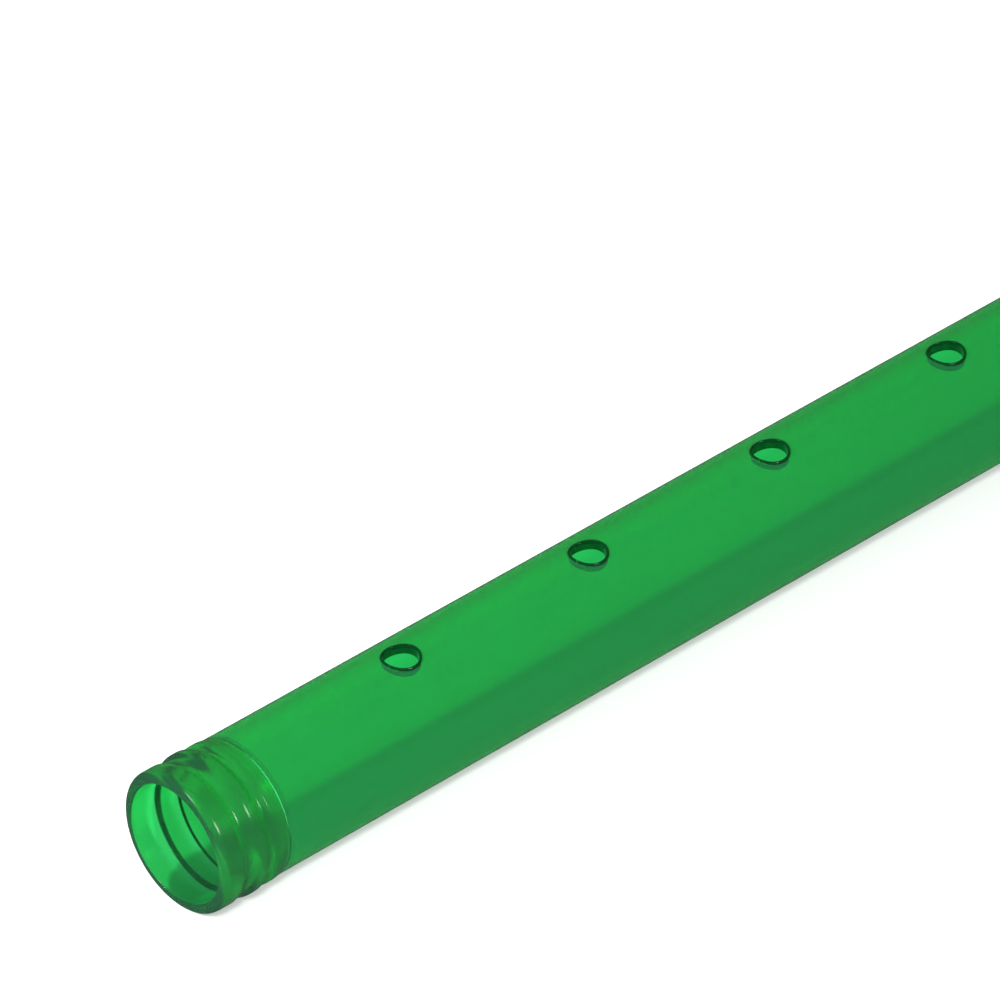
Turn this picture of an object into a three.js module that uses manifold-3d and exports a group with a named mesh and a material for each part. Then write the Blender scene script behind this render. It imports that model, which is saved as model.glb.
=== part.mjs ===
// Tree guard tube: a long round sleeve of clear green plastic that shields a young tree or vine.
// A vented pipe carries a moulded neck collar in each end and a short eyelet in every vent.
// Millimetres, +Z up. The tube lies along X on the plane z = 0, with its vents upward and its
// mid-length over the origin.

import * as THREE from "three";
import { mergeVertices } from "three/addons/utils/BufferGeometryUtils.js";
import Module from "manifold-3d";

// Driving dimensions
const VENT_COUNT = 6;
const VENT_PITCH = 100;
const VENT_END_DISTANCE = 118; // from a lip plane to the middle of the nearest vent
const TUBE_RADIUS = 30;
const TUBE_WALL = 1.2;
const GAP = 0.3; // clearance between neighbouring pieces
const SIDES = 40; // flats round the tube, with one flat facing straight down and one straight up
const HALF_FLAT = Math.PI / SIDES;

// Neck collar: radii of its outer surface, and where each level run starts and ends behind the lip
// plane
const LIP_RADIUS = 30.6;
const LIP_ROUND = 3.2;
const LIP_ROUND_STEPS = 3;
const LIP_LENGTH = 9;
const TIE_GROOVE = { start: 11.8, end: 12.8, radius: 28.9 };
const FRONT_BEAD = { start: 18.2, end: 20.8, radius: 31 };
const REAR_GROOVE = { start: 24, end: 24.8, radius: 29.2 };
const STOP_BEAD = { start: 27.4, end: 29.6, radius: 30.5 };
const SHOULDER = { at: 33.6, radius: 30 };
const BORE_RADIUS = 25.6; // the thick-walled neck has a plain bore
const BORE_ROUND = 1;
const BORE_LENGTH = 28; // where the bore starts to widen to the spigot's
const SPIGOT_BORE_AT = 34.4;
const SPIGOT_LENGTH = 3;
const SPIGOT_WALL = 0.8;
const SPIGOT_RADIUS = TUBE_RADIUS - TUBE_WALL - GAP;
const SPIGOT_CHAMFER = 0.4;
const WAVE_STEPS = 3; // straight pieces between a groove and the next bead

// Vent eyelet: a barrel through the pipe's wall under a thin rim that follows the pipe
const EYELET_BORE = 7.2;
const EYELET_BARREL = 7.8;
const EYELET_RIM = 8.4;
const EYELET_RIM_THICKNESS = 0.6;
const EYELET_DEPTH = 4.6;
const EYELET_SIDES = 24;

// Derived dimensions
const LENGTH = 2 * VENT_END_DISTANCE + (VENT_COUNT - 1) * VENT_PITCH;
const AXIS_HEIGHT = FRONT_BEAD.radius * Math.cos(HALF_FLAT);
const PIPE_HALF_LENGTH = LENGTH / 2 - SHOULDER.at - GAP;

const wasm = await Module();
wasm.setup();

/** Solid of revolution about X from a closed outline of [distance along X, radius] points. */
function revolveAboutX(outline) {
  const points = [...outline, outline[0]].map(([along, radius]) => new THREE.Vector2(radius, along));
  const geometry = new THREE.LatheGeometry(points, SIDES, HALF_FLAT);
  geometry.rotateZ(-Math.PI / 2);
  return geometry;
}

/** Solid of revolution about Z from a closed outline of [radius, height] points. */
function revolveAboutZ(outline, sides) {
  const points = [...outline, outline[0]].map(([radius, height]) => new THREE.Vector2(radius, height));
  const geometry = new THREE.LatheGeometry(points, sides);
  geometry.rotateX(Math.PI / 2);
  return geometry;
}

/** Rectangle of an outline between two places and two radii, in the order that faces outward. */
function ringOutline(start, end, innerRadius, outerRadius) {
  return [[start, outerRadius], [end, outerRadius], [end, innerRadius], [start, innerRadius]];
}

/** Closed geometry to a manifold-3d solid. */
function toSolid(geometry) {
  const bare = geometry.clone();
  bare.deleteAttribute("normal");
  bare.deleteAttribute("uv");
  const merged = mergeVertices(bare, 1e-4);
  return new wasm.Manifold(new wasm.Mesh({
    numProp: 3,
    vertProperties: Float32Array.from(merged.attributes.position.array),
    triVerts: Uint32Array.from(merged.index.array),
  }));
}

/** A manifold-3d solid back to geometry. */
function toGeometry(solid) {
  const mesh = solid.getMesh();
  const geometry = new THREE.BufferGeometry();
  geometry.setAttribute("position", new THREE.BufferAttribute(mesh.vertProperties, 3));
  geometry.setIndex(new THREE.BufferAttribute(mesh.triVerts, 1));
  geometry.computeVertexNormals();
  return geometry;
}

/** Half a cosine wave from the end of one run to the start of the next, then that level run. */
function wave(from, to) {
  const rise = Array.from({ length: WAVE_STEPS }, (_, step) => {
    const t = (step + 1) / WAVE_STEPS;
    const blend = (1 - Math.cos(Math.PI * t)) / 2;
    return [from.end + (to.start - from.end) * t, from.radius + (to.radius - from.radius) * blend];
  });
  return [...rise, [to.end, to.radius]];
}

/** Quarter circle from the lip plane to the lip's outer surface. */
function roundedLip() {
  return Array.from({ length: LIP_ROUND_STEPS + 1 }, (_, step) => {
    const turn = (Math.PI / 2) * (step / LIP_ROUND_STEPS);
    return [LIP_ROUND * (1 - Math.cos(turn)), LIP_RADIUS - LIP_ROUND * (1 - Math.sin(turn))];
  });
}

/** Neck collar about X, its lip at x = 0 and its spigot towards +X. */
function neckCollar() {
  const lip = { start: LIP_ROUND, end: LIP_LENGTH, radius: LIP_RADIUS };
  const stations = [lip, TIE_GROOVE, FRONT_BEAD, REAR_GROOVE, STOP_BEAD];
  const waves = stations.slice(1).flatMap((station, i) => wave(stations[i], station));
  const spigotEnd = SHOULDER.at + SPIGOT_LENGTH;
  const spigotInner = SPIGOT_RADIUS - SPIGOT_WALL;
  return revolveAboutX([
    ...roundedLip(),
    [LIP_LENGTH, LIP_RADIUS],
    ...waves,
    [SHOULDER.at, SHOULDER.radius],
    [SHOULDER.at, SPIGOT_RADIUS],
    [spigotEnd - SPIGOT_CHAMFER, SPIGOT_RADIUS],
    [spigotEnd, SPIGOT_RADIUS - SPIGOT_CHAMFER],
    [spigotEnd, spigotInner],
    [SPIGOT_BORE_AT, spigotInner],
    [BORE_LENGTH, BORE_RADIUS],
    [BORE_ROUND, BORE_RADIUS],
    [0, BORE_RADIUS + BORE_ROUND],
  ]);
}

/** Pipe about X with a round hole for every vent's barrel. */
function ventedPipe(ventPlaces) {
  const inner = TUBE_RADIUS - TUBE_WALL;
  const outline = ringOutline(-PIPE_HALF_LENGTH, PIPE_HALF_LENGTH, inner, TUBE_RADIUS);
  const drill = toSolid(revolveAboutZ(
    [[0, inner / 2], [EYELET_BARREL + GAP, inner / 2],
      [EYELET_BARREL + GAP, TUBE_RADIUS + EYELET_DEPTH], [0, TUBE_RADIUS + EYELET_DEPTH]],
    EYELET_SIDES,
  ));
  const pipe = ventPlaces.reduce(
    (solid, place) => solid.subtract(drill.translate([place, 0, 0])),
    toSolid(revolveAboutX(outline)),
  );
  return toGeometry(pipe);
}

/** Eyelet about Z, its barrel and rim both cut to curves about the pipe's axis. */
function ventEyelet() {
  const under = TUBE_RADIUS + GAP;
  const top = under + EYELET_RIM_THICKNESS;
  const band = (innerRadius) => toSolid(revolveAboutX(
    ringOutline(-2 * EYELET_RIM, 2 * EYELET_RIM, innerRadius, top),
  ));
  const ring = (outerRadius) => toSolid(revolveAboutZ(
    [[EYELET_BORE, top / 2], [outerRadius, top / 2], [outerRadius, 2 * top], [EYELET_BORE, 2 * top]],
    EYELET_SIDES,
  ));
  const rim = ring(EYELET_RIM).intersect(band(under));
  const barrel = ring(EYELET_BARREL).intersect(band(top - EYELET_DEPTH));
  return toGeometry(rim.add(barrel));
}

/** One named piece, placed by its position along the tube. */
function addPiece(group, name, geometry, material, along) {
  const piece = new THREE.Mesh(geometry, material);
  piece.name = name;
  piece.position.set(along, 0, AXIS_HEIGHT);
  group.add(piece);
  return piece;
}

const pipePlastic = new THREE.MeshStandardMaterial({ color: 0x26a048, roughness: 0.28, metalness: 0 });
const collarPlastic = new THREE.MeshStandardMaterial({ color: 0x23984a, roughness: 0.2, metalness: 0 });
const eyeletPlastic = new THREE.MeshStandardMaterial({ color: 0x1b7f3a, roughness: 0.22, metalness: 0 });

const ventPlaces = Array.from(
  { length: VENT_COUNT },
  (_, i) => VENT_END_DISTANCE + i * VENT_PITCH - LENGTH / 2,
);

const treeGuard = new THREE.Group();
treeGuard.name = "tree_guard_tube";
addPiece(treeGuard, "body_tube", ventedPipe(ventPlaces), pipePlastic, 0);

const collar = neckCollar();
addPiece(treeGuard, "collar_near", collar, collarPlastic, -LENGTH / 2);
addPiece(treeGuard, "collar_far", collar, collarPlastic, LENGTH / 2).rotation.z = Math.PI;

const eyelet = ventEyelet();
ventPlaces.forEach((place, i) => {
  addPiece(treeGuard, `vent_eyelet_${i + 1}`, eyelet, eyeletPlastic, place);
});

export default treeGuard;
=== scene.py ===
# %% [markdown]
# # A clear green tree guard tube
#
# A tree guard is a sleeve that stands round a young tree or vine and keeps animals and spray off
# it. This one is a long vented pipe with a moulded neck in each end and a short eyelet in every
# vent, all in the same clear green plastic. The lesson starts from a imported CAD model, which
# fixes every size and place, and makes the smooth surfaces, the plastic, the light and the view.

import math

import bpy
import numpy as np
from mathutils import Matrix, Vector


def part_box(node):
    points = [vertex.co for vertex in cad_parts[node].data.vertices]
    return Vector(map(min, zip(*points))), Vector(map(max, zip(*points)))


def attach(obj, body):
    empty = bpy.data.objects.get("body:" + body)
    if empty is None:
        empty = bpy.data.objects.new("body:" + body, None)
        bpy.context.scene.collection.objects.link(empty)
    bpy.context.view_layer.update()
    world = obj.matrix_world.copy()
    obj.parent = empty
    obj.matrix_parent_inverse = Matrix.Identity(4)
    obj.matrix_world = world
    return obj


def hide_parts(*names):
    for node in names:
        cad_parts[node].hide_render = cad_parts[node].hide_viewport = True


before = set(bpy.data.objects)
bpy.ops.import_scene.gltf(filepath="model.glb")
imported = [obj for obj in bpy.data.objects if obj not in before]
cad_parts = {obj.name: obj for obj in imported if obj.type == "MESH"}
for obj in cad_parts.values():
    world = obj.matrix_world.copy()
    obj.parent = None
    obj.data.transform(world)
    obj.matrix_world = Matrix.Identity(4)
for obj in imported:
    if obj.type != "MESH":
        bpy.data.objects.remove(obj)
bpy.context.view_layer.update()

# %% [markdown]
# ## Sizes that everything shares
#
# The tube's axis, its radius and the places of its vents come from the CAD boxes, so nothing is
# fitted by eye. Only what a box can't show is named here: how thick the walls are and how the
# neck's grooves and beads run along it.

# %% Places and radii from the CAD model
MM = 0.001

pipe_low, pipe_high = (np.array(corner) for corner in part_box("body_tube"))
near_low, near_high = (np.array(corner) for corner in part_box("collar_near"))
far_low, far_high = (np.array(corner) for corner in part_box("collar_far"))

axis_height = (near_low[2] + near_high[2]) / 2
pipe_radius = (pipe_high[2] - pipe_low[2]) / 2
bead_radius = (near_high[2] - near_low[2]) / 2

vent_names = sorted(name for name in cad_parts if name.startswith("vent_eyelet_"))
vent_places = [float(sum(np.array(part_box(name))[:, 0]) / 2) for name in vent_names]
rim_radius = float(np.ptp(np.array(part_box(vent_names[0]))[:, 0]) / 2)

print(f"axis {axis_height / MM:.2f} mm up, pipe {pipe_radius / MM:.2f} mm, bead {bead_radius / MM:.2f} mm")
print("vents at", [round(place / MM, 1) for place in vent_places])

# %% Walls, grooves and beads
PIPE_WALL = 1.2 * MM
SEAM = 0.06 * MM  # the fine gap left where two pieces meet

LIP_ROUND = 3.2 * MM
BORE_RADIUS = 25.6 * MM
BORE_ROUND = 1 * MM
BORE_LENGTH = 28 * MM
SPIGOT_BORE_AT = 34.4 * MM
SPIGOT_WALL = 0.8 * MM
SPIGOT_LENGTH = 3 * MM
SHOULDER_RUN = 0.2 * MM

# Level runs behind the lip plane: where each starts, where it ends, and its radius
neck_runs = [
    (LIP_ROUND, 9 * MM, bead_radius - 0.4 * MM),
    (11.8 * MM, 12.8 * MM, bead_radius - 2.1 * MM),
    (18.2 * MM, 20.8 * MM, bead_radius),
    (24 * MM, 24.8 * MM, bead_radius - 1.8 * MM),
    (27.4 * MM, 29.6 * MM, bead_radius - 0.5 * MM),
]
shoulder_place = pipe_low[0] - near_low[0] - SEAM

EYELET_BORE = 7.2 * MM
EYELET_BARREL = 7.8 * MM
EYELET_DEPTH = 4.6 * MM
EYELET_RISE = 0.9 * MM
EYELET_FOOT = 0.2 * MM
VENT_HOLE = 8.1 * MM

print(f"pipe wall {PIPE_WALL / MM:.1f} mm, neck bore {BORE_RADIUS / MM:.1f} mm in radius")
print("neck runs start at", [round(start / MM, 1) for start, _, _ in neck_runs], "mm")

# %% [markdown]
# ## From arrays to a mesh
#
# Every surface is a grid of points worked out by a formula. Two small helpers turn any grid into
# a mesh: one lists the quads between neighbouring rows, and one hands the points and quads to
# Blender. That one turns a whole piece the right way out, and each piece's own function joins its
# rows so that all its faces agree.

# %% Quads between the rows of a grid
def grid_quads(index, wrap_rows=False, wrap_columns=True):
    """Quads of a grid of point numbers: each joins a point, the next one in its row, and the two
    points after them in the next row. Wrapping adds the strip from the last back to the first."""
    if wrap_rows:
        index = np.concatenate([index, index[:1]], axis=0)
    if wrap_columns:
        index = np.concatenate([index, index[:, :1]], axis=1)
    corners = [index[:-1, :-1], index[:-1, 1:], index[1:, 1:], index[1:, :-1]]
    return np.stack([corner.ravel() for corner in corners], axis=1)


# %% Points and quads to a Blender object
SHARP_ANGLE = math.radians(38)


def make_piece(name, points, quads, material):
    """A smooth mesh object from points and quads. The signed volume is a sixth of the sum of each
    triangle's first corner dotted with the cross product of the others. Where it is negative the
    quads are turned round."""
    triangles = np.concatenate([quads[:, [0, 1, 2]], quads[:, [0, 2, 3]]])
    a, b, c = (points[triangles[:, corner]] for corner in range(3))
    volume = float(np.einsum("ij,ij->", a, np.cross(b, c))) / 6
    if volume < 0:
        quads = quads[:, ::-1]
    mesh = bpy.data.meshes.new(name)
    mesh.vertices.add(len(points))
    mesh.vertices.foreach_set("co", points.astype(np.float32).ravel())
    mesh.loops.add(quads.size)
    mesh.loops.foreach_set("vertex_index", quads.astype(np.int32).ravel())
    mesh.polygons.add(len(quads))
    mesh.polygons.foreach_set("loop_start", np.arange(0, quads.size, 4, dtype=np.int32))
    mesh.update(calc_edges=True)
    mesh.validate()
    mesh.shade_smooth()
    mesh.set_sharp_from_angle(angle=SHARP_ANGLE)
    mesh.materials.append(material)
    piece = bpy.data.objects.new(name, mesh)
    bpy.context.scene.collection.objects.link(piece)
    print(f"{name}: {len(quads) * 2} triangles, {abs(volume) * 1e6:.2f} cm3")
    return piece


# %% [markdown]
# ## The plastic
#
# Clear green plastic owes its look to three things. Light is absorbed along its way through the
# wall, so edges seen lengthwise go dark. The surface mirrors a little of the room. And the wall
# isn't optically perfect, so what is behind it shows soft. A flat green with some alpha would give
# none of them. Absorption in the volume gives the first, a Principled shader with transmission
# gives the second, and its roughness the third. A little of the light scatters at the surface
# instead of passing, which gives the body its milky depth.

# %% A clear plastic
PLASTIC_IOR = 1.46
ABSORBED = (0.3, 0.8, 0.5)
CLOUD_SCALE = 28
CLOUD_DETAIL = 3
CLOUD_SHADE = 0.94
GLOSS_SWING = 0.25


def clear_plastic(name, tint, through, density, roughness):
    """Principled transmission over a Volume Absorption. A soft noise moves the tint a few per
    cent and the roughness a quarter either way."""
    material = bpy.data.materials.new(name)
    material.use_nodes = True
    nodes = material.node_tree.nodes
    links = material.node_tree.links
    shader = nodes["Principled BSDF"]
    shader.inputs["Transmission Weight"].default_value = through
    shader.inputs["IOR"].default_value = PLASTIC_IOR

    place = nodes.new("ShaderNodeTexCoord")
    cloud = nodes.new("ShaderNodeTexNoise")
    cloud.inputs["Scale"].default_value = CLOUD_SCALE
    cloud.inputs["Detail"].default_value = CLOUD_DETAIL
    links.new(place.outputs["Object"], cloud.inputs["Vector"])

    colour = nodes.new("ShaderNodeMix")
    colour.data_type = "RGBA"
    colour.inputs["A"].default_value = (*(CLOUD_SHADE * channel for channel in tint), 1)
    colour.inputs["B"].default_value = (*tint, 1)
    links.new(cloud.outputs["Fac"], colour.inputs["Factor"])
    links.new(colour.outputs["Result"], shader.inputs["Base Color"])

    gloss = nodes.new("ShaderNodeMapRange")
    gloss.inputs["To Min"].default_value = roughness * (1 - GLOSS_SWING)
    gloss.inputs["To Max"].default_value = roughness * (1 + GLOSS_SWING)
    links.new(cloud.outputs["Fac"], gloss.inputs["Value"])
    links.new(gloss.outputs["Result"], shader.inputs["Roughness"])

    absorb = nodes.new("ShaderNodeVolumeAbsorption")
    absorb.inputs["Color"].default_value = (*ABSORBED, 1)
    absorb.inputs["Density"].default_value = density
    links.new(absorb.outputs["Volume"], nodes["Material Output"].inputs["Volume"])
    return material


# %% The faint lines of an extruded wall
LINE_STRETCH = (1.5, 260, 260)
LINE_DETAIL = 2
LINE_DEPTH = 0.05 * MM
LINE_STRENGTH = 0.03


def extrusion_lines(material):
    """A bump from noise that is stretched along the tube and fine across it."""
    nodes = material.node_tree.nodes
    links = material.node_tree.links
    place = nodes.new("ShaderNodeTexCoord")
    stretch = nodes.new("ShaderNodeMapping")
    stretch.inputs["Scale"].default_value = LINE_STRETCH
    streaks = nodes.new("ShaderNodeTexNoise")
    streaks.inputs["Scale"].default_value = 1
    streaks.inputs["Detail"].default_value = LINE_DETAIL
    bump = nodes.new("ShaderNodeBump")
    bump.inputs["Strength"].default_value = LINE_STRENGTH
    bump.inputs["Distance"].default_value = LINE_DEPTH
    links.new(place.outputs["Object"], stretch.inputs["Vector"])
    links.new(stretch.outputs["Vector"], streaks.inputs["Vector"])
    links.new(streaks.outputs["Fac"], bump.inputs["Height"])
    links.new(bump.outputs["Normal"], nodes["Principled BSDF"].inputs["Normal"])


# %% [markdown]
# ## Three finishes
#
# All the pieces are the same green, but not equally deep. One plastic for the pipe and the neck would
# be simpler, but their walls differ too much for it. The pipe's wall is thin and is seen mostly face
# on, so only a dense tint darkens its edges. The neck is about three to four and a half times as
# thick, so it absorbs less for each millimetre, and its moulded skin is a little softer. The
# eyelets' far darker tint and denser absorption are painted shade, which draws a dark throat in each vent.

# %% The finishes
CLEAR_GREEN = (0.075, 0.89, 0.28)
DEEP_GREEN = (0.14, 0.96, 0.37)
# painted shade: the eyelets' very dark tint stands in for the shade in each vent's throat
PAINTED_THROAT_SHADE_GREEN = (0.006, 0.2, 0.045)

pipe_plastic = clear_plastic("pipe_plastic", CLEAR_GREEN, through=0.86, density=1100, roughness=0.04)
extrusion_lines(pipe_plastic)
collar_plastic = clear_plastic("collar_plastic", DEEP_GREEN, through=0.93, density=560, roughness=0.15)
# the eyelets' dense absorption is painted shade as well, darkening each vent's throat
eyelet_plastic_painted_shade = clear_plastic("eyelet_plastic_painted_shade", PAINTED_THROAT_SHADE_GREEN, through=0.8, density=4000, roughness=0.06)
print("finishes:", [material.name for material in (pipe_plastic, collar_plastic, eyelet_plastic_painted_shade)])

# %% [markdown]
# ## The vented pipe
#
# The pipe is a rolled-up sheet with round holes. A boolean would cut them, but it leaves long thin
# faces that shade badly. Instead the sheet is a regular grid with a square left out round each
# vent, and each square is filled by rings that turn smoothly from its edge to the round hole.

# %% The rolled sheet
AROUND = 128
PATCH = 16
RINGS = 6
RING_SPREAD = 1.15  # above 1, the rings crowd a little towards the hole
ROW_SPACING = 3 * MM


def sheet_rows():
    """Places of the grid's rows along the pipe: even rows across each vent's square, and rows a
    little wider apart between the squares."""
    half = math.pi / AROUND * PATCH * pipe_radius
    stops = [pipe_low[0]]
    rows = [np.array([pipe_low[0]])]
    first_rows = []
    for place in vent_places:
        gap = place - half - stops[-1]
        steps = max(1, round(gap / ROW_SPACING))
        rows.append(np.linspace(stops[-1], place - half, steps + 1)[1:])
        first_rows.append(sum(len(part) for part in rows) - 1)
        rows.append(np.linspace(place - half, place + half, PATCH + 1)[1:])
        stops.append(place + half)
    steps = max(1, round((pipe_high[0] - stops[-1]) / ROW_SPACING))
    rows.append(np.linspace(stops[-1], pipe_high[0], steps + 1)[1:])
    return np.concatenate(rows), first_rows


def square_border(first_row, first_column):
    """Row and column numbers round a square, starting at the middle of its +X side and going
    towards growing angle, a quarter of the points along each side."""
    half = PATCH // 2
    side = np.arange(PATCH)
    rows = np.concatenate([np.full(PATCH, half), half - side, np.full(PATCH, -half), side - half])
    columns = np.concatenate([side - half, np.full(PATCH, half), half - side, np.full(PATCH, -half)])
    order = np.roll(np.arange(4 * PATCH), -half)
    return rows[order] + half + first_row, columns[order] + half + first_column


def vented_sheet(radius):
    """Points of the sheet rolled to a radius. A ring's point lies on the straight line, in place
    along the pipe and angle about it, from the hole's edge to the square's border. The hole is
    round seen from above, so its edge at angle a has sine(angle about the pipe) = hole radius
    times sine(a) over the sheet's radius."""
    rows, first_rows = sheet_rows()
    angles = 2 * math.pi * (np.arange(AROUND) - PATCH // 2) / AROUND
    along, about = (part.ravel() for part in np.meshgrid(rows, angles, indexing="ij"))
    index = np.arange(along.size).reshape(len(rows), AROUND)
    keep = np.ones((len(rows) - 1, AROUND), bool)
    turn = 2 * math.pi * np.arange(4 * PATCH) / (4 * PATCH)
    share = (np.arange(RINGS) / RINGS)[:, None] ** RING_SPREAD
    quads, holes = [], []
    for place, first in zip(vent_places, first_rows):
        keep[first:first + PATCH, :PATCH] = False
        border = index[square_border(first, 0)]
        edge_along = place + VENT_HOLE * np.cos(turn)
        edge_about = np.arcsin(VENT_HOLE * np.sin(turn) / radius)
        start = along.size
        along = np.append(along, ((1 - share) * edge_along + share * along[border]).ravel())
        about = np.append(about, ((1 - share) * edge_about + share * about[border]).ravel())
        rings = np.arange(start, along.size).reshape(RINGS, 4 * PATCH)
        quads.append(grid_quads(np.concatenate([rings, border[None]])))
        holes.append(rings[0])
    plain = grid_quads(index).reshape(len(rows) - 1, AROUND, 4)[keep]
    points = np.stack([along, radius * np.sin(about), axis_height + radius * np.cos(about)], axis=1)
    return points, np.concatenate([plain, *quads]), holes, index


def vented_pipe():
    """The outer sheet, the inner sheet turned inside out, and the strips that join them round
    each hole and at each end. Two quads that share an edge run opposite ways along it, so a strip
    starts from the inner sheet at the first row and at a hole, and from the outer one at the last
    row. The sign of the whole volume doesn't show a strip that is turned the wrong way."""
    outer, quads, holes, index = vented_sheet(pipe_radius)
    inner = vented_sheet(pipe_radius - PIPE_WALL)[0]
    shift = len(outer)
    strips = [grid_quads(np.stack([index[0] + shift, index[0]])),
              grid_quads(np.stack([index[-1], index[-1] + shift]))]
    strips += [grid_quads(np.stack([hole + shift, hole])) for hole in holes]
    points = np.concatenate([outer, inner])
    quads = np.concatenate([quads, quads[:, ::-1] + shift, *strips])
    used = np.unique(quads)
    number = np.zeros(len(points), int)
    number[used] = np.arange(len(used))
    return points[used], number[quads]


pipe_points, pipe_quads = vented_pipe()
pipe = make_piece("pipe", pipe_points, pipe_quads, pipe_plastic)
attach(pipe, "root")
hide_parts("body_tube")
print(f"pipe {np.ptp(pipe_points[:, 0]) / MM:.1f} mm long with {len(vent_places)} holes")

# %% [markdown]
# ## The neck collars
#
# A neck is moulded thick, with grooves and beads outside and a plain bore inside. A thin shell that
# follows the beads would look much the same in outline, but not through clear plastic: a bead over
# a plain bore turns light back inside the wall, and that draws the two dark arcs in the mouth.
# Each neck is round, so its shape is one outline carried round the tube's axis: out along the lip,
# the tie groove and the beads to the shoulder, then back along the spigot and the bore.

# %% The neck's outline
NECK_AROUND = 160
BORE_POINTS = 24
LIP_POINTS = 10
BORE_EDGE_POINTS = 7
STEP = 0.35 * MM


def eased(run, following):
    """Points from the end of one level run to the end of the next: the radius follows half a
    cosine wave between them, then stays level."""
    (_, start, low), (stop, end, high) = run, following
    count = max(2, round((stop - start) / STEP))
    t = np.arange(1, count + 1) / count
    blend = (1 - np.cos(np.pi * t)) / 2
    rise = np.stack([start + (stop - start) * t, low + (high - low) * blend], axis=1)
    steps = max(1, round((end - stop) / STEP))
    level = np.linspace(stop, end, steps + 1)[1:]
    return np.concatenate([rise, np.stack([level, np.full(steps, high)], axis=1)])


def quarter_round(centre, radius, start_turn, count):
    """Points of a quarter circle from a start angle, turning by a right angle."""
    turn = start_turn + np.linspace(0, math.pi / 2, count)
    return np.stack([centre[0] + radius * np.cos(turn), centre[1] + radius * np.sin(turn)], axis=1)


def neck_outline():
    """Closed outline of [distance behind the lip, radius] points."""
    runs = neck_runs + [(shoulder_place - SHOULDER_RUN, shoulder_place, pipe_radius)]
    waves = np.concatenate([eased(a, b) for a, b in zip(runs, runs[1:])])
    spigot_outer = pipe_radius - PIPE_WALL - SEAM
    spigot_inner = spigot_outer - SPIGOT_WALL
    spigot_end = shoulder_place + SPIGOT_LENGTH
    _, lip_end, lip_radius = neck_runs[0]
    lip_run = [[lip_end, lip_radius]]
    lip_middle_point = (LIP_ROUND, lip_radius - LIP_ROUND)
    lip_outer = quarter_round(lip_middle_point, LIP_ROUND, math.pi / 2, LIP_POINTS)[::-1]
    spigot = np.array([[shoulder_place, spigot_outer], [spigot_end - SPIGOT_WALL / 2, spigot_outer],
                       [spigot_end, spigot_outer - SPIGOT_WALL / 2], [spigot_end, spigot_inner]])
    widening = eased((0, BORE_LENGTH, BORE_RADIUS), (SPIGOT_BORE_AT, spigot_end - STEP, spigot_inner))
    bore = np.stack([np.linspace(BORE_LENGTH, BORE_ROUND, BORE_POINTS),
                     np.full(BORE_POINTS, BORE_RADIUS)], axis=1)
    edge_middle_point = (BORE_ROUND, BORE_RADIUS + BORE_ROUND)
    bore_edge = quarter_round(edge_middle_point, BORE_ROUND, math.pi, BORE_EDGE_POINTS)[::-1]
    return np.concatenate([lip_outer, lip_run, waves, spigot, widening[::-1], bore, bore_edge[1:]])


def neck_collar(lip_place, direction):
    """The outline carried round the axis: a point at distance d and radius r goes to lip place
    plus direction times d, r sine(angle) and r cosine(angle) above the axis."""
    outline = neck_outline()
    angle = 2 * math.pi * np.arange(NECK_AROUND) / NECK_AROUND
    along = lip_place + direction * np.repeat(outline[:, :1], NECK_AROUND, axis=1)
    across = outline[:, 1:] * np.sin(angle)
    height = axis_height + outline[:, 1:] * np.cos(angle)
    points = np.stack([along, across, height], axis=-1).reshape(-1, 3)
    index = np.arange(len(points)).reshape(len(outline), NECK_AROUND)
    return points, grid_quads(index, wrap_rows=True)


for name, node, lip_place, direction in (
    ("neck_near", "collar_near", near_low[0], 1),
    ("neck_far", "collar_far", far_high[0], -1),
):
    neck = make_piece(name, *neck_collar(lip_place, direction), collar_plastic)
    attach(neck, "root")
    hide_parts(node)

# %% [markdown]
# ## The vent eyelets
#
# An eyelet is a thin rim that lies on the pipe over a short barrel through its wall. A flat ring
# would stand off the pipe at its sides, and bending one with a modifier would thin it. Here it is
# an outline carried round the vent, with its height measured from the pipe's curved surface, so
# the rim hugs the pipe.

# %% An eyelet that follows the pipe
EYELET_AROUND = 96
RIM_POINTS = 13
WALL_POINTS = 8


def eyelet_outline():
    """Closed outline of [distance from the vent's axis, height over the pipe] points: up the
    bore, over a half-round rim, under it, and down the barrel's outside."""
    bottom = EYELET_RISE - EYELET_DEPTH
    rim_width = rim_radius - EYELET_BORE
    turn = np.linspace(math.pi, 0, RIM_POINTS)
    rim = np.stack([EYELET_BORE + rim_width / 2 * (1 + np.cos(turn)),
                    SEAM + (EYELET_RISE - SEAM) * np.sin(turn)], axis=1)
    bore = np.stack([np.full(WALL_POINTS, EYELET_BORE),
                     np.linspace(bottom + EYELET_FOOT, 0, WALL_POINTS)], axis=1)
    barrel = np.stack([np.full(WALL_POINTS, EYELET_BARREL),
                       np.linspace(SEAM, bottom + EYELET_FOOT, WALL_POINTS)], axis=1)
    foot_middle = (EYELET_BORE + EYELET_BARREL) / 2
    return np.concatenate([bore, rim, barrel, [[foot_middle, bottom]]])


def vent_eyelet(place):
    """The outline carried round the vent: a point at distance d goes d cosine(angle) along the
    pipe and d sine(angle) across it, and its height over the axis is the root of (pipe radius
    plus its own height) squared less its distance across squared."""
    outline = eyelet_outline()
    angle = 2 * math.pi * np.arange(EYELET_AROUND) / EYELET_AROUND
    along = place + outline[:, :1] * np.cos(angle)
    across = outline[:, :1] * np.sin(angle)
    height = axis_height + np.sqrt((pipe_radius + outline[:, 1:]) ** 2 - across**2)
    points = np.stack([along, across, height], axis=-1).reshape(-1, 3)
    index = np.arange(len(points)).reshape(len(outline), EYELET_AROUND)
    return points, grid_quads(index, wrap_rows=True)


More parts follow.
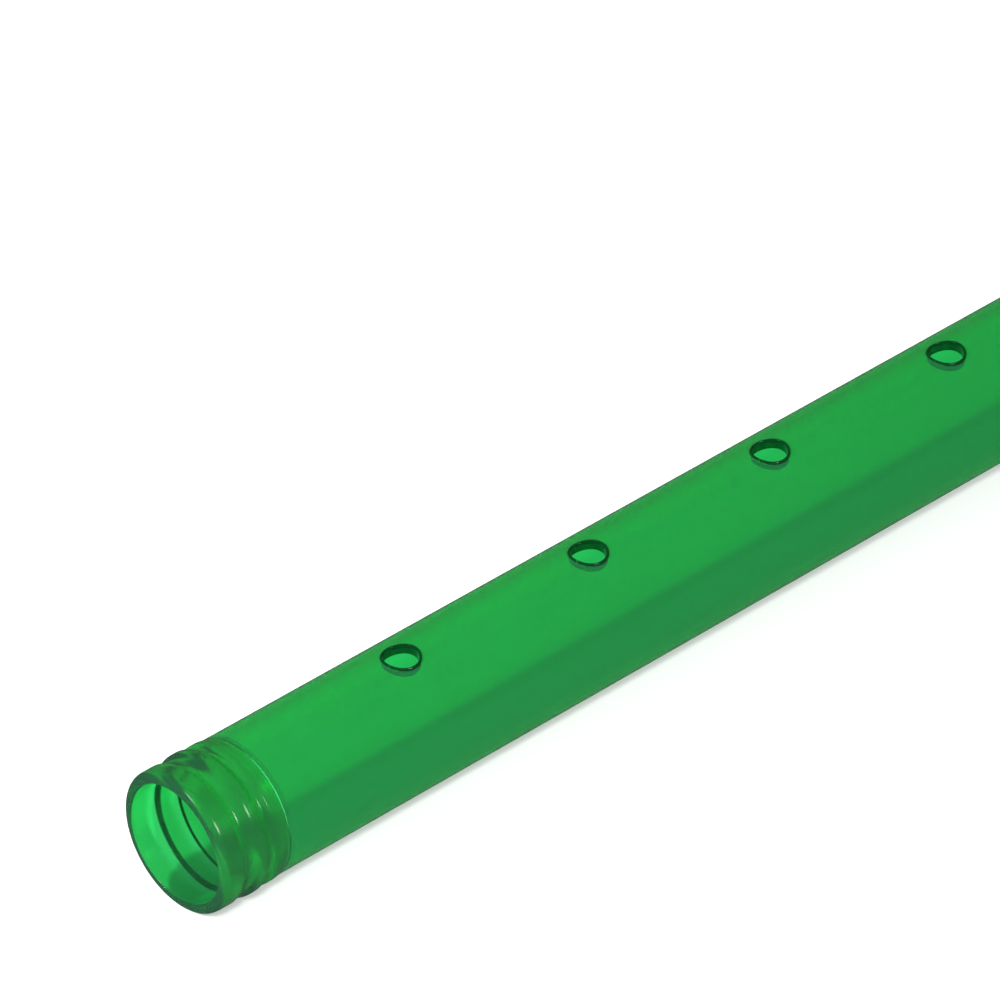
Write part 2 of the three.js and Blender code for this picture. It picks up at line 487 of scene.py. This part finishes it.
for number, (node, place) in enumerate(zip(vent_names, vent_places), start=1):
    eyelet = make_piece(f"eyelet_{number}", *vent_eyelet(place), eyelet_plastic_painted_shade)
    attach(eyelet, "root")
    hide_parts(node)

# %% [markdown]
# ## The floor
#
# The tube lies on a plain white floor, and most of its brightness is that floor seen through it. A
# floor lit by lamps alone would go too dark under the tube, because with caustics off no lamp's
# light passes a clear wall. A faint glow in the floor stands for that lost light. The floor is
# left out of mirror reflections, which would veil the green with grey.

# %% A pale floor
FLOOR_HALF = 30.0
FLOOR_POINTS = 5
FLOOR_WHITE = 0.9
FLOOR_ROUGHNESS = 0.9
FLOOR_GLOW = 0.33


def pale_floor():
    """A square sheet of a few quads on z = 0 in plain matt white."""
    side = np.linspace(-FLOOR_HALF, FLOOR_HALF, FLOOR_POINTS)
    x, y = np.meshgrid(side, side, indexing="ij")
    points = np.stack([x, y, np.zeros_like(x)], axis=-1).reshape(-1, 3)
    index = np.arange(len(points)).reshape(FLOOR_POINTS, FLOOR_POINTS)
    quads = grid_quads(index, wrap_columns=False)[:, ::-1]
    mesh = bpy.data.meshes.new("floor")
    mesh.from_pydata(points.tolist(), [], quads.tolist())
    material = bpy.data.materials.new("floor_white")
    material.use_nodes = True
    shader = material.node_tree.nodes["Principled BSDF"]
    shader.inputs["Base Color"].default_value = (FLOOR_WHITE, FLOOR_WHITE, FLOOR_WHITE, 1)
    shader.inputs["Roughness"].default_value = FLOOR_ROUGHNESS
    shader.inputs["Specular IOR Level"].default_value = 0.0
    shader.inputs["Emission Color"].default_value = (1, 1, 1, 1)
    shader.inputs["Emission Strength"].default_value = FLOOR_GLOW
    material.cycles.emission_sampling = "NONE"
    mesh.materials.append(material)
    floor = bpy.data.objects.new("floor", mesh)
    bpy.context.scene.collection.objects.link(floor)
    floor.visible_glossy = False
    return floor


pale_floor()
print(f"floor {2 * FLOOR_HALF:.0f} m square, glow {FLOOR_GLOW}")

# %% [markdown]
# ## The surroundings
#
# An even white world fills the shadows. Its strength depends on the ray that meets it: mirror
# reflections see it dimmed, so that the plastic keeps its colour, and the view itself sees it as
# bright as the far floor, so that the floor has no horizon.

# %% An even world
FILL = 0.3
MIRRORED_FILL = 0.1
BACKDROP = 0.6


def even_world():
    """A white background. One Map Range picks the fill's strength by whether the ray is glossy,
    and a second one replaces it where the ray comes straight from the view."""
    world = bpy.data.worlds.new("studio")
    world.use_nodes = True
    nodes = world.node_tree.nodes
    links = world.node_tree.links
    nodes["Background"].inputs["Color"].default_value = (1, 1, 1, 1)
    ray = nodes.new("ShaderNodeLightPath")
    fill = nodes.new("ShaderNodeMapRange")
    fill.inputs["To Min"].default_value = FILL
    fill.inputs["To Max"].default_value = MIRRORED_FILL
    links.new(ray.outputs["Is Glossy Ray"], fill.inputs["Value"])
    backdrop = nodes.new("ShaderNodeMapRange")
    backdrop.inputs["To Max"].default_value = BACKDROP
    links.new(ray.outputs["Is Camera Ray"], backdrop.inputs["Value"])
    links.new(fill.outputs["Result"], backdrop.inputs["To Min"])
    links.new(backdrop.outputs["Result"], nodes["Background"].inputs["Strength"])
    return world


bpy.context.scene.world = even_world()
print(f"world {FILL}, {MIRRORED_FILL} in reflections, {BACKDROP} as a backdrop")

# %% [markdown]
# ## The lamps
#
# Two small key lamps in front of the lip and above it light the floor. The tube's shadows from
# them give what shows through it: a lighter upper band, a darker lower one, and a grey line where
# the tube touches down. One broad lamp would blur all three away. The keys are kept out of
# reflections and refractions. Two larger soft boxes do the opposite: they are weak, and are there
# to be mirrored, as glints on the beads and the lip.

# %% Soft boxes round the lip
LAMP_DISTANCE = 3
lip_middle = np.array([near_low[0], 0, axis_height])


def softbox(name, direction, size, power, mirrored):
    """A square area lamp in a direction from the lip, facing it."""
    lamp = bpy.data.lights.new(name, "AREA")
    lamp.shape = "SQUARE"
    lamp.size = size
    lamp.energy = power
    box = bpy.data.objects.new(name, lamp)
    place = lip_middle + LAMP_DISTANCE * np.array(direction)
    box.location = place
    box.rotation_euler = Vector(lip_middle - place).to_track_quat("-Z", "Y").to_euler()
    box.visible_glossy = mirrored
    box.visible_transmission = mirrored
    bpy.context.scene.collection.objects.link(box)
    print(f"{name}: {size} m, {power} W")
    return box


softbox("back_key", (-0.72, 0.3, 0.63), size=0.4, power=68, mirrored=False)
softbox("front_key", (-0.5, -0.5, 0.71), size=0.35, power=60, mirrored=False)
softbox("front", (0.24, -0.76, 0.6), size=0.8, power=24, mirrored=True)
softbox("left", (-0.763, 0.195, 0.616), size=0.6, power=13, mirrored=True)

# %% [markdown]
# ## The camera
#
# A long lens from a few metres away looks down on the near neck, and the tube runs up and out of
# the frame. Such a lens keeps the pipe's two edges almost parallel. Light has to pass many walls to
# cross a clear tube, so the rays are let through more surfaces than usual, and caustics stay off,
# because the floor's glow already stands for them.

# %% The view
VIEW_ELEVATION = math.radians(36.73)
VIEW_AZIMUTH = math.radians(-42.574)
VIEW_OFFSET = (-1.7164, -2.0539, 2.1609)
SENSOR_WIDTH = 36
LENS = 8.92 * SENSOR_WIDTH
CLEAR_BOUNCES = 24
DIFFUSE_BOUNCES = 4

camera = bpy.data.cameras.new("camera")
camera.lens = LENS
camera.sensor_width = SENSOR_WIDTH
camera_object = bpy.data.objects.new("camera", camera)
camera_object.location = lip_middle + np.array(VIEW_OFFSET)
camera_object.rotation_euler = (math.pi / 2 - VIEW_ELEVATION, 0, VIEW_AZIMUTH)
bpy.context.scene.collection.objects.link(camera_object)
bpy.context.scene.camera = camera_object

scene = bpy.context.scene
scene.view_settings.view_transform = "Standard"
scene.cycles.max_bounces = CLEAR_BOUNCES
scene.cycles.transmission_bounces = CLEAR_BOUNCES
scene.cycles.diffuse_bounces = DIFFUSE_BOUNCES
scene.cycles.caustics_refractive = False
scene.cycles.caustics_reflective = False
print(f"lens {LENS:.0f} mm, {np.linalg.norm(VIEW_OFFSET):.2f} m from the lip")
